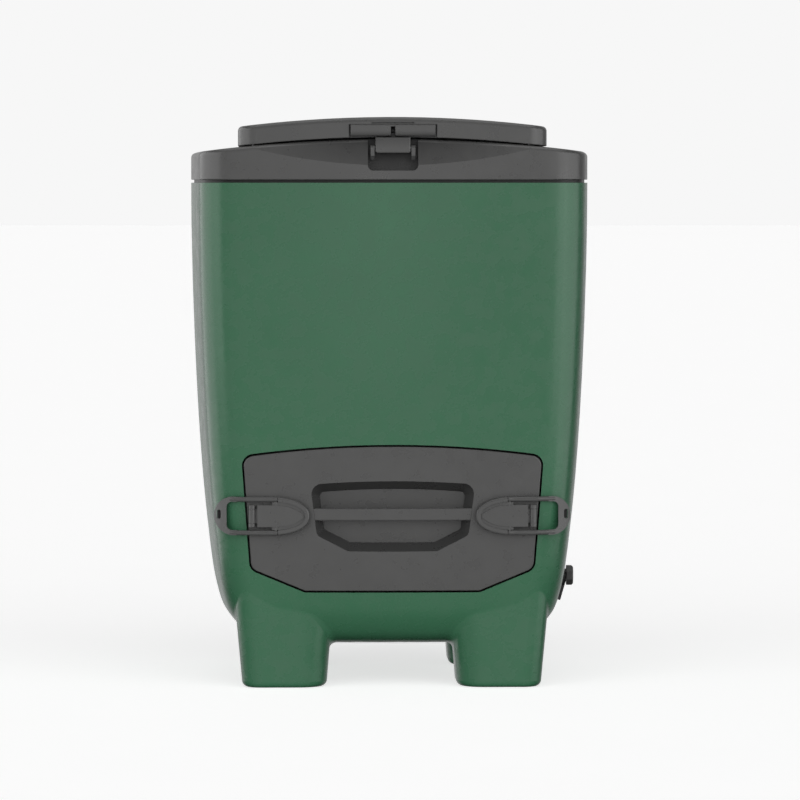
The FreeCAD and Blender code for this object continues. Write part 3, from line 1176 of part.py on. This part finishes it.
# grip bar in the lid's front notch, slotted in the middle for the clip's knuckle
CY, CZ = D("clip_y"), D("clip_z")
GX = 70.0
bar2 = cyl(9.0, (-GX, CY, CZ), (1, 0, 0), 2 * GX)
bar2 = bar2.fuse(box(-GX, GX, CY - 9.0, -316.2, CZ, 938.0))
bar2 = bar2.fuse(box(-GX, GX, CY, -316.2, CZ - 9.0, CZ))
ge = [e for e in bar2.Edges if e.BoundBox.XLength > 100 and e.BoundBox.ZMin > 937 and e.BoundBox.YMax < CY - 5]
try:
    t = bar2.makeFillet(2.6, ge)
    if t.isValid():
        bar2 = t
except Exception as ex_:
    mark("lid grip: %s" % ex_)
bar2 = bar2.cut(box(-3.8, 3.8, -420, CY + 7.5, 840, CZ + 7.5))
bar2 = bar2.removeSplitter()
bar2 = one(bar2.cut(cyl(D("clip_pin_r"), (-24.0, CY, CZ), (1, 0, 0), 48.0)))
mark("lid grip %d solids valid %s" % (len(bar2.Solids), bar2.isValid()))
feature("lid_grip", bar2)
pcyl("clip_pin", "dims.clip_pin_r", "48", (-24.0, CY, CZ), (1, 0, 0))

# clip: knuckle on the pin, narrow neck, wide paddle that hangs in front of the keeper pin
R0 = D("clip_r0")
kn_ = cyl(6.2, (-3.3, CY, CZ), (1, 0, 0), 6.6)
neck = box(-3.3, 3.3, CY - 5.0, CY - 0.5, CZ - R0 - 3.0, CZ)
pad_ = box(-29.0, 29.0, CY - 6.2, CY - 1.2, 891.0, CZ - R0 - 0.6)
pe = [e for e in pad_.Edges if e.BoundBox.XLength < 1e-6 and e.BoundBox.ZLength < 1e-6 and e.BoundBox.ZMax < 892]
pad_ = pad_.makeFillet(4.0, pe)
pe = [e for e in pad_.Edges if e.BoundBox.XLength > 30 and e.BoundBox.ZMax < 892 and e.BoundBox.YMax < CY - 6]
try:
    pad_ = pad_.makeFillet(2.4, pe)
except Exception as ex_:
    mark("clip paddle: %s" % ex_)
rib = box(-27.0, 27.0, CY - 2.0, -320.4, 903.6, 907.0)
clip = kn_.fuse([neck, pad_, rib]).removeSplitter()
clip = one(clip.cut(cyl(D("clip_pin_r") + 0.06, (-5.0, CY, CZ), (1, 0, 0), 10.0)))
mark("clip %d solids valid %s" % (len(clip.Solids), clip.isValid()))
feature("lid_clip", clip)

# ========================================================================= export
NODES = """outer_shell legs inner_liner wall_insulation floor_insulation hatch_frame top_collar clip_seat collar_screws
keeper_pin floor_grate air_inlet_tubes air_inlet_screens latch_keeper_left latch_keeper_right tap_body
tap_washer tap_nut lid_hinge_pins tap_knob tap_spindle hatch_cover hatch_grip_bar hatch_inner_panel
hatch_insulation hatch_seal hatch_screws latch_bracket_left latch_bracket_right latch_pin_left
latch_pin_right latch_lever_left latch_bail_left latch_lever_right latch_bail_right lid_cover
lid_inner_panel lid_insulation lid_seal lid_grip clip_pin lid_screws lid_clip""".split()

doc.recompute()
bad = []
for o in doc.Objects:
    if any(t in ("Invalid", "Error") for t in o.State):
        bad.append("%s state %s" % (o.Name, o.State))
for n in NODES:
    o = doc.getObject(n)
    if o is None or o.Shape.isNull() or not o.Shape.isValid() or o.Shape.Volume <= 0:
        bad.append("%s shape" % n)
if bad:
    raise RuntimeError("; ".join(bad))
os.makedirs("parts", exist_ok=True)
for n in NODES:
    doc.getObject(n).Shape.exportStep("parts/%s.step" % n)
bb = None
for n in NODES:
    b = doc.getObject(n).Shape.BoundBox
    if bb is None:
        bb = FreeCAD.BoundBox(b)
    else:
        bb.add(b)
mark("box %s" % bb)
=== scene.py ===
import json
import math

import bpy
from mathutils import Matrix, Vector

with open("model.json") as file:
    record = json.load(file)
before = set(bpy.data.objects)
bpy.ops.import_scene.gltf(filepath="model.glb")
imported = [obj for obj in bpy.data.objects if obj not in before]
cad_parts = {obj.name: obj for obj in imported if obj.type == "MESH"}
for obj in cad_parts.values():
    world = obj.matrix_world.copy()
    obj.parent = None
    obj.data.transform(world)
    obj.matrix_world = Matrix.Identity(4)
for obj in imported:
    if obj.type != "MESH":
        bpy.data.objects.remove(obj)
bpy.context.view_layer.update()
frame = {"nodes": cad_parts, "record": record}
NODES = frame["nodes"]
SC = bpy.context.scene
SC.view_settings.view_transform = "Standard"


# --------------------------------------------------------------------------- shader helpers
class Net:
    """Small wrapper that places and links shader nodes."""

    def __init__(self, name):
        self.mat = bpy.data.materials.new(name)
        self.mat.use_nodes = True
        self.t = self.mat.node_tree
        self.t.nodes.clear()
        self.out = self.t.nodes.new("ShaderNodeOutputMaterial")
        self.bsdf = self.t.nodes.new("ShaderNodeBsdfPrincipled")
        self.t.links.new(self.bsdf.outputs[0], self.out.inputs[0])
        self.tc = self.t.nodes.new("ShaderNodeTexCoord")

    def n(self, kind, **kw):
        x = self.t.nodes.new(kind)
        for k, v in kw.items():
            setattr(x, k, v)
        return x

    def link(self, a, b):
        self.t.links.new(a, b)

    def coords(self, scale=(1.0, 1.0, 1.0), rot=(0.0, 0.0, 0.0)):
        m = self.n("ShaderNodeMapping")
        m.inputs["Scale"].default_value = scale
        m.inputs["Rotation"].default_value = rot
        self.link(self.tc.outputs["Object"], m.inputs["Vector"])
        return m.outputs[0]

    def noise(self, scale, detail=2.0, rough=0.5, vec=None, distort=0.0):
        x = self.n("ShaderNodeTexNoise")
        x.inputs["Scale"].default_value = scale
        x.inputs["Detail"].default_value = detail
        x.inputs["Roughness"].default_value = rough
        x.inputs["Distortion"].default_value = distort
        self.link(vec if vec is not None else self.tc.outputs["Object"], x.inputs["Vector"])
        return x.outputs["Fac"]

    def voronoi(self, scale, feature="F1", vec=None):
        x = self.n("ShaderNodeTexVoronoi", feature=feature)
        x.inputs["Scale"].default_value = scale
        self.link(vec if vec is not None else self.tc.outputs["Object"], x.inputs["Vector"])
        return x.outputs["Distance"]

    def remap(self, sock, a, b, c, d, smooth=False):
        x = self.n("ShaderNodeMapRange", interpolation_type="SMOOTHSTEP" if smooth else "LINEAR", clamp=True)
        for i, v in zip((1, 2, 3, 4), (a, b, c, d)):
            x.inputs[i].default_value = v
        self.link(sock, x.inputs[0])
        return x.outputs[0]

    def math(self, op, a, b=None):
        x = self.n("ShaderNodeMath", operation=op)
        for i, v in enumerate((a, b)):
            if v is None:
                continue
            if isinstance(v, (int, float)):
                x.inputs[i].default_value = v
            else:
                self.link(v, x.inputs[i])
        return x.outputs[0]

    def mix(self, fac, a, b, blend="MIX"):
        x = self.n("ShaderNodeMix", data_type="RGBA", blend_type=blend)
        for i, v in ((0, fac), (6, a), (7, b)):
            if isinstance(v, (int, float)):
                x.inputs[i].default_value = v
            elif isinstance(v, (tuple, list)):
                x.inputs[i].default_value = tuple(v) if len(v) == 4 else (*v, 1.0)
            else:
                self.link(v, x.inputs[i])
        return x.outputs[2]

    def bump(self, height, strength, distance, normal=None):
        x = self.n("ShaderNodeBump")
        x.inputs["Strength"].default_value = strength
        x.inputs["Distance"].default_value = distance
        self.link(height, x.inputs["Height"])
        if normal is not None:
            self.link(normal, x.inputs["Normal"])
        return x.outputs[0]

    def edge(self, radius, gain):
        """0 on flat areas, up to 1 along sharp edges."""
        bv = self.n("ShaderNodeBevel", samples=4)
        bv.inputs["Radius"].default_value = radius
        geo = self.n("ShaderNodeNewGeometry")
        d = self.n("ShaderNodeVectorMath", operation="DOT_PRODUCT")
        self.link(bv.outputs[0], d.inputs[0])
        self.link(geo.outputs["Normal"], d.inputs[1])
        inv = self.math("SUBTRACT", 1.0, d.outputs["Value"])
        return self.remap(inv, 0.0, 1.0 / gain, 0.0, 1.0)


def tint(c, k):
    return tuple(max(0.0, min(1.0, x * k)) for x in c)


def moulded(name, base, rough, grain=1500.0, grain_amt=0.20, wave=0.06, vary=0.10, wear=0.35, spec=0.5, dust=(0.42, 0.42, 0.40), painted_shade_mask=None):
    """Injection or rotation moulded plastic: fine spark-eroded grain, slow waviness, cloudy colour, paler rubbed
    edges, and optional painted shade that darkens the colour under a given mask.
    """
    m = Net(name)
    cloud = m.noise(5.5, 4.0, 0.55)
    speck = m.noise(620.0, 2.0, 0.6)
    c = m.mix(m.remap(cloud, 0.3, 0.7, 0.0, 1.0), tint(base, 1.0 - vary), tint(base, 1.0 + vary))
    c = m.mix(m.remap(speck, 0.35, 0.65, 0.0, 0.15), c, m.mix(0.5, c, tint(base, 1.12)), "MIX")
    if wear > 0.0:
        scratch = m.remap(m.noise(140.0, 3.0, 0.65), 0.42, 0.62, 0.0, 1.0)
        rub = m.math("MULTIPLY", m.edge(0.0016, 3.0), m.math("MULTIPLY", scratch, wear))
        c = m.mix(rub, c, tuple(0.55 * a + 0.45 * b for a, b in zip(tint(base, 1.9), dust)))
    # painted shade: the colour is darkened towards near black where the mask says shade falls
    if painted_shade_mask is not None:
        c = m.mix(painted_shade_mask(m), c, tint(base, 0.08))
    m.link(c, m.bsdf.inputs["Base Color"])
    r = m.remap(m.noise(38.0, 3.0, 0.6), 0.3, 0.7, rough - 0.05, rough + 0.06)
    m.link(r, m.bsdf.inputs["Roughness"])
    slow = m.bump(m.noise(9.0, 1.0, 0.4), wave, 0.01)
    fine = m.bump(m.noise(grain, 2.0, 0.6), grain_amt, 0.0003, slow)
    m.link(fine, m.bsdf.inputs["Normal"])
    m.bsdf.inputs["Specular IOR Level"].default_value = spec
    m.bsdf.inputs["IOR"].default_value = 1.48
    return m.mat


def xyz(m, sock):
    x = m.n("ShaderNodeSeparateXYZ")
    m.link(sock, x.inputs[0])
    return x.outputs


def facing(m):
    return xyz(m, m.n("ShaderNodeNewGeometry").outputs["Normal"])


def scoop_painted_shade(m):
    """Painted shade on the slanted finger scoop, strongest beside the clip and under the lid, where the lid's
    overhang shades it.
    """
    q, f = xyz(m, m.tc.outputs["Object"]), facing(m)
    slope = m.math("MULTIPLY", m.remap(f[2], 0.27, 0.34, 0.0, 1.0, True), m.remap(f[1], -0.90, -0.84, 1.0, 0.0, True))
    near = m.remap(m.math("ABSOLUTE", q[0]), 0.02, 0.21, 0.56, 0.04)
    return m.math("MULTIPLY", slope, m.math("MULTIPLY", near, m.remap(q[2], 0.870, 0.906, 0.40, 1.0)))


def seat_painted_shade(m):
    """Painted shade on the clip seat: darker the deeper inside its pocket, and on its front face the same painted
    shade as the scoop round it.
    """
    q = xyz(m, m.tc.outputs["Object"])
    face = m.math("MULTIPLY", m.math("MAXIMUM", m.math("SUBTRACT", q[2], 0.8714), 0.0), 0.40)
    deep = m.remap(m.math("SUBTRACT", m.math("ADD", q[1], 0.3366), face), 0.0012, 0.012, 0.0, 1.0)
    dark = m.math("MULTIPLY", deep, m.remap(q[2], 0.862, 0.890, 0.52, 0.86))
    return m.math("MAXIMUM", dark, scoop_painted_shade(m))


def clip_top_painted_shade(m):
    """Painted shade on the clip's tongue: black in a thin band at its top, where it goes round its pin under the grip
    bar, and darkening towards the top of the clip below that.
    """
    q = xyz(m, m.tc.outputs["Object"])
    return m.math("MAXIMUM", m.remap(q[2], 0.9150, 0.9172, 0.0, 1.0), m.remap(q[2], 0.896, 0.916, 0.0, 0.30, True))


def pocket_wall_painted_shade(m):
    """Painted shade on the steep walls round the hatch's grip pocket and its rim: their colour is darkened."""
    return m.remap(facing(m)[1], -0.78, -0.55, 0.0, 0.42, True)


def steel(name):
    m = Net(name)
    brushed = m.noise(260.0, 3.0, 0.6, m.coords((0.06, 1.0, 1.0)))
    c = m.mix(m.remap(brushed, 0.3, 0.7, 0.0, 1.0), (0.46, 0.46, 0.47), (0.66, 0.66, 0.66))
    m.link(c, m.bsdf.inputs["Base Color"])
    m.bsdf.inputs["Metallic"].default_value = 1.0
    m.link(m.remap(brushed, 0.25, 0.75, 0.24, 0.42), m.bsdf.inputs["Roughness"])
    m.link(m.bump(brushed, 0.12, 0.0002), m.bsdf.inputs["Normal"])
    return m.mat


def foam(name):
    m = Net(name)
    bead = m.voronoi(260.0, "SMOOTH_F1")
    c = m.mix(m.remap(bead, 0.1, 0.7, 0.0, 1.0), (0.80, 0.79, 0.75), (0.62, 0.61, 0.57))
    c = m.mix(m.remap(m.noise(7.0, 3.0), 0.35, 0.65, 0.0, 0.5), c, (0.74, 0.70, 0.58))
    m.link(c, m.bsdf.inputs["Base Color"])
    m.link(m.remap(bead, 0.0, 0.8, 0.78, 0.92), m.bsdf.inputs["Roughness"])
    m.link(m.bump(bead, 0.55, 0.0012), m.bsdf.inputs["Normal"])
    return m.mat


def rubber(name):
    m = Net(name)
    c = m.mix(m.remap(m.noise(30.0, 4.0), 0.3, 0.7, 0.0, 1.0), (0.012, 0.012, 0.013), (0.030, 0.030, 0.030))
    m.link(c, m.bsdf.inputs["Base Color"])
    m.link(m.remap(m.noise(90.0, 3.0), 0.3, 0.7, 0.55, 0.75), m.bsdf.inputs["Roughness"])
    m.link(m.bump(m.noise(1900.0, 2.0), 0.25, 0.0002), m.bsdf.inputs["Normal"])
    return m.mat


GREEN = moulded("green_shell", (0.041, 0.143, 0.075), 0.27, grain=1300.0, grain_amt=0.012, wave=0.02, vary=0.025, wear=0.0, spec=0.8)
GREY = moulded("grey_plastic", (0.082, 0.082, 0.081), 0.30, grain=1500.0, grain_amt=0.014, wave=0.02, vary=0.03, wear=0.0, spec=0.8)
BLACK = moulded("black_plastic", (0.022, 0.022, 0.022), 0.40, grain=1700.0, grain_amt=0.08, vary=0.08, wear=0.12)
STEEL = steel("steel")
FOAM = foam("foam")
RUBBER = rubber("rubber")
PLAIN = dict(grain=1500.0, grain_amt=0.014, wave=0.02, vary=0.03, wear=0.0, spec=0.8)
BY_NODE = {
    # the next four parts carry painted shade in their colour, through the mask given to each
    "top_collar": moulded("grey_collar", (0.082, 0.082, 0.081), 0.30, painted_shade_mask=scoop_painted_shade, **PLAIN),
    "clip_seat": moulded("grey_seat", (0.082, 0.082, 0.081), 0.30, painted_shade_mask=seat_painted_shade, **PLAIN),
    "lid_clip": moulded("grey_clip", (0.082, 0.082, 0.081), 0.30, painted_shade_mask=clip_top_painted_shade, **PLAIN),
    "hatch_cover": moulded("grey_hatch", (0.082, 0.082, 0.081), 0.30, painted_shade_mask=pocket_wall_painted_shade, **PLAIN),
    "tap_knob": moulded("tap_grey", (0.050, 0.050, 0.049), 0.34, grain=1500.0, grain_amt=0.05, vary=0.05, wear=0.0, spec=0.8),
}
BY_SLOT = {"green_shell": GREEN, "grey_plastic": GREY, "black_plastic": BLACK, "steel": STEEL, "foam": FOAM, "rubber": RUBBER}
for sp in frame["record"]["subparts"]:
    ob = NODES[sp["node"]]
    ob.data.materials.clear()
    ob.data.materials.append(BY_NODE.get(sp["node"], BY_SLOT[sp["material_slot"]]))

# --------------------------------------------------------------------------- stage
me = bpy.data.meshes.new("floor")
R = 240.0
ring = [(R * math.cos(2 * math.pi * k / 128), R * math.sin(2 * math.pi * k / 128), -0.0005) for k in range(128)]
me.from_pydata(ring, [], [tuple(range(128))])
floor = bpy.data.objects.new("floor", me)
SC.collection.objects.link(floor)
fm = Net("floor_paper")
fm.link(fm.mix(fm.remap(fm.noise(3.0, 3.0), 0.3, 0.7, 0.0, 1.0), (0.84, 0.84, 0.84), (0.86, 0.86, 0.86)), fm.bsdf.inputs["Base Color"])
fm.bsdf.inputs["Roughness"].default_value = 0.9
fm.bsdf.inputs["Specular IOR Level"].default_value = 0.1
fm.bsdf.inputs["Emission Color"].default_value = (1.0, 1.0, 1.0, 1.0)
fm.bsdf.inputs["Emission Strength"].default_value = 0.67
me.materials.append(fm.mat)
floor.visible_diffuse = False
floor.visible_glossy = False

# --------------------------------------------------------------------------- light
w = bpy.data.worlds.new("studio")
SC.world = w
w.use_nodes = True
wt = w.node_tree
wt.nodes.clear()
wo = wt.nodes.new("ShaderNodeOutputWorld")
lp = wt.nodes.new("ShaderNodeLightPath")
wc = wt.nodes.new("ShaderNodeTexCoord")
ws = wt.nodes.new("ShaderNodeSeparateXYZ")
wt.links.new(wc.outputs["Generated"], ws.inputs[0])


def wmap(sock, a, b, c, d):
    x = wt.nodes.new("ShaderNodeMapRange")
    x.interpolation_type = "SMOOTHSTEP"
    for k, v in zip((1, 2, 3, 4), (a, b, c, d)):
        x.inputs[k].default_value = v
    wt.links.new(sock, x.inputs[0])
    return x.outputs[0]


def wmath(op, a, b):
    x = wt.nodes.new("ShaderNodeMath")
    x.operation = op
    for k, v in enumerate((a, b)):
        if isinstance(v, float):
            x.inputs[k].default_value = v
        else:
            wt.links.new(v, x.inputs[k])
    return x.outputs[0]


# a soft dome that is brightest in front, with light off the floor from below; gloss sees a dimmer room with
# lamps overhead, a pale wall behind that is brighter on the left, and a faint glow straight in front
above = wmap(ws.outputs["Z"], -0.10, 0.10, 0.0, 1.0)
front = wmap(ws.outputs["Y"], -0.97, -0.10, 1.0, 0.0)
dome = wmath("ADD", wmath("MULTIPLY", front, 2.34), 0.14)
dome = wmath("MULTIPLY", dome, wmap(ws.outputs["Z"], 0.10, 0.70, 1.0, 0.45))
dome = wmath("MULTIPLY", dome, wmath("ADD", wmath("MULTIPLY", above, 0.34), 0.66))
wall = wmath("MULTIPLY", wmap(ws.outputs["Y"], 0.30, 0.95, 0.0, 0.66), wmap(ws.outputs["X"], -0.20, 0.20, 1.0, 0.80))
wall = wmath("MULTIPLY", wall, wmap(ws.outputs["Z"], -0.60, -0.40, 0.0, 1.0))
room = wmath("ADD", wmap(ws.outputs["Z"], 0.74, 0.98, 0.0, 1.0), wall)
room = wmath("ADD", room, wmap(ws.outputs["Y"], -0.9995, -0.982, 0.48, 0.0))
level = wmath("ADD", wmath("MULTIPLY", dome, wmath("SUBTRACT", 1.0, lp.outputs["Is Glossy Ray"])),
              wmath("MULTIPLY", room, lp.outputs["Is Glossy Ray"]))
fill = wt.nodes.new("ShaderNodeBackground")
fill.inputs["Color"].default_value = (1.0, 1.0, 1.0, 1.0)
wt.links.new(level, fill.inputs["Strength"])
white = wt.nodes.new("ShaderNodeBackground")
white.inputs["Color"].default_value = (1.0, 1.0, 1.0, 1.0)
white.inputs["Strength"].default_value = 0.93
mixw = wt.nodes.new("ShaderNodeMixShader")
wt.links.new(lp.outputs["Is Camera Ray"], mixw.inputs[0])
wt.links.new(fill.outputs[0], mixw.inputs[1])
wt.links.new(white.outputs[0], mixw.inputs[2])
wt.links.new(mixw.outputs[0], wo.inputs[0])


def panel(name, az, dist, width, height, z, radiance, aim=(0.0, 0.0, 0.5), sheen_only=False):
    """Soft box at an azimuth from the front (negative is the left), with a stated surface radiance."""
    d = bpy.data.lights.new(name, "AREA")
    d.shape = "RECTANGLE"
    d.size, d.size_y = width, height
    d.energy = radiance * math.pi * width * height
    o = bpy.data.objects.new(name, d)
    SC.collection.objects.link(o)
    a = math.radians(az)
    loc = Vector((dist * math.sin(a), -dist * math.cos(a), z))
    o.location = loc
    o.rotation_euler = (Vector(aim) - loc).to_track_quat("-Z", "Y").to_euler()
    o.visible_camera = False
    o.visible_diffuse = not sheen_only
    return o


panel("left_near", -62.0, 4.6, 2.4, 3.7, 1.45, 1.05, sheen_only=True)
panel("left_side", -106.0, 3.6, 4.2, 4.0, 1.25, 1.35, sheen_only=True)
panel("right_near", 40.0, 4.6, 2.2, 3.6, 1.45, 0.95, sheen_only=True)
panel("right_side", 76.0, 4.6, 4.4, 4.2, 1.05, 1.05, sheen_only=True)

# --------------------------------------------------------------------------- camera
cd = bpy.data.cameras.new("camera")
cd.sensor_width = 36.0
cd.lens = 236.2
cd.clip_start = 0.1
cd.clip_end = 100.0
cam = bpy.data.objects.new("camera", cd)
SC.collection.objects.link(cam)
cam.location = (-0.220, -8.997, 0.845)
cam.rotation_euler = (math.radians(90.0 - 2.39), 0.0, math.radians(-1.53))
SC.camera = cam
